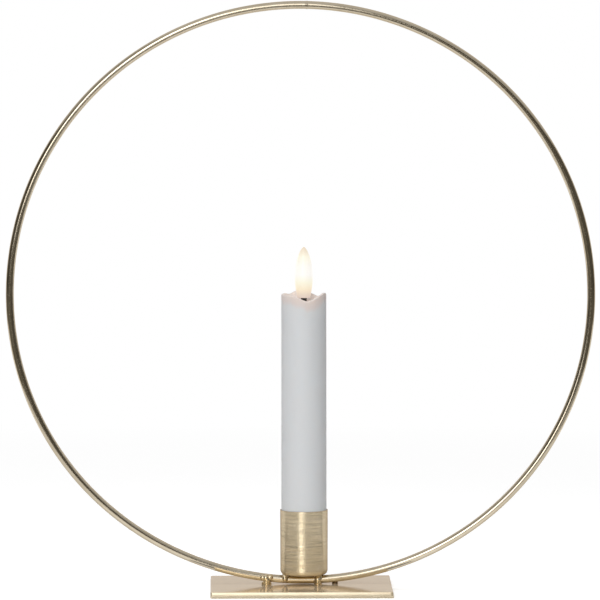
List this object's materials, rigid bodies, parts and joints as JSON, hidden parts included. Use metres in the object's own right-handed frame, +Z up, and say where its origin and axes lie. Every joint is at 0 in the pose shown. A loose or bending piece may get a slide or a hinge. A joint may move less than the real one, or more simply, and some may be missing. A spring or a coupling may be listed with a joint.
{
  "type": "ring candle holder",
  "caption": "Standing ring of gold-plated wire on a small plate, with a cup welded inside its lowest point that holds a lit battery taper candle.",
  "frame": {"origin": "middle of the base plate's underside, on the table", "axes": "+X to the right along the ring's plane, +Y away from the viewer, +Z up"},
  "size_m": [0.2895, 0.07, 0.2905],
  "materials": {
    "gold_plating": "polished",
    "wax": "satin",
    "flame": "satin",
    "black_plastic": "matte",
    "white_plastic": "satin",
    "lamp_resin": "gloss",
    "board": "satin",
    "contact_metal": "satin",
    "cell_jacket": "satin"
  },
  "bodies": {
    "holder": {"base_plate": "gold_plating", "ring_wire": "gold_plating", "ring_seam": "gold_plating", "candle_cup": "gold_plating", "ring_weld_left": "gold_plating", "ring_weld_right": "gold_plating", "cup_weld_left": "gold_plating", "cup_weld_right": "gold_plating"},
    "candle": {"wax_shell": "wax", "flame_lens": "flame", "wick_stem": "black_plastic", "core_tube": "white_plastic", "top_plug": "white_plastic", "led_lamp": "lamp_resin", "led_lead_plus": "contact_metal", "led_lead_minus": "contact_metal", "driver_board": "board", "timer_chip": "black_plastic", "series_resistor": "black_plastic", "plus_contact": "contact_metal", "minus_strip": "contact_metal", "battery_lower": "cell_jacket", "battery_upper": "cell_jacket"},
    "cap": {"battery_cap": "white_plastic", "cap_insert": "board", "spring_contact": "contact_metal", "ring_contact": "contact_metal", "battery_spring": "contact_metal", "switch_body": "contact_metal", "switch_pin_spring": "contact_metal", "switch_pin_ring": "contact_metal"},
    "switch": {"switch_knob": "black_plastic"}
  },
  "joints": [
    {"name": "candle_lift", "type": "slide", "parent": "holder", "child": "candle", "axis": [0, 0, 1], "range_m": [0, 0.045]},
    {"name": "cap_twist", "type": "hinge", "parent": "candle", "child": "cap", "pos_m": [0.0014, 0, 0.0097], "axis": [0, 0, 1], "range_deg": [-40, 0]},
    {"name": "switch_slide", "type": "slide", "parent": "cap", "child": "switch", "axis": [1, 0, 0], "range_m": [-0.002, 0.002]}
  ]
}
